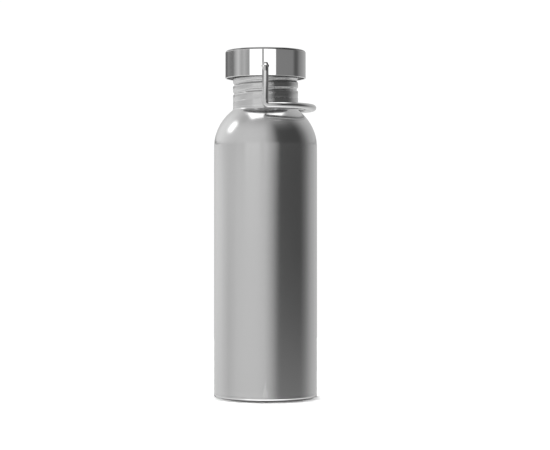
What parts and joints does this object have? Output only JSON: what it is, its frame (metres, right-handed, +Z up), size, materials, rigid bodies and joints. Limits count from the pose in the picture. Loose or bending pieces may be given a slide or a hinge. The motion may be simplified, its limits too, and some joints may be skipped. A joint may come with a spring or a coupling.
{
  "type": "canteen",
  "caption": "Double-walled steel canteen with a threaded neck, a screw cap and a bent-wire carrying bail hinged on the cap.",
  "frame": {"origin": "centre of the ring that the canteen stands on, on its axis", "axes": "+Z up along the bottle's axis, bail loop towards +X, the bail's pivots on a line along Y, one leg at -Y and one at +Y"},
  "size_m": [0.073, 0.073, 0.2438],
  "materials": {
    "steel_satin": "fine satin, drawn stainless steel",
    "steel_inner": "electropolished stainless steel",
    "steel_polished": "mirror-polished stainless steel",
    "steel_wire": "polished round stainless wire",
    "copper_foil": "bright copper foil",
    "getter_alloy": "sintered metal pellet",
    "sealing_glass": "fused sealing glass, opaque brown",
    "silicone": "translucent white silicone, matte",
    "core_plastic": "black moulded polypropylene",
    "foam": "closed-cell foam",
    "bush_plastic": "natural acetal"
  },
  "bodies": {
    "bottle": {"outer_shell": "steel_satin", "neck": "steel_satin", "inner_liner": "steel_inner", "inner_bottom": "steel_inner", "foil_wrap": "copper_foil", "getter": "getter_alloy", "base_cup": "steel_satin", "base_disc": "steel_satin", "vacuum_plug": "sealing_glass"},
    "seal": {"seal_ring": "silicone"},
    "cap": {"cap_shell": "steel_polished", "cap_core": "core_plastic", "cap_foam": "foam", "inner_disc": "steel_inner", "pivot_bush_near": "bush_plastic", "pivot_bush_far": "bush_plastic"},
    "bail": {"bail": "steel_wire"}
  },
  "joints": [
    {"name": "cap_lift", "type": "slide", "parent": "bottle", "child": "seal", "axis": [0, 0, 1], "range_m": [0, 0.0249]},
    {"name": "cap_turn", "type": "hinge", "parent": "seal", "child": "cap", "pos_m": [0, 0, 0.2309], "axis": [0, 0, 1], "range_deg": [0, 1440]},
    {"name": "bail_swing", "type": "hinge", "parent": "cap", "child": "bail", "pos_m": [0, 0, 0.23088], "axis": [0, 1, 0], "range_deg": [-262, 7]}
  ],
  "couplings": [
    {"joint": "cap_lift", "follows": "cap_turn", "m_per_rad": 0.00098676}
  ]
}
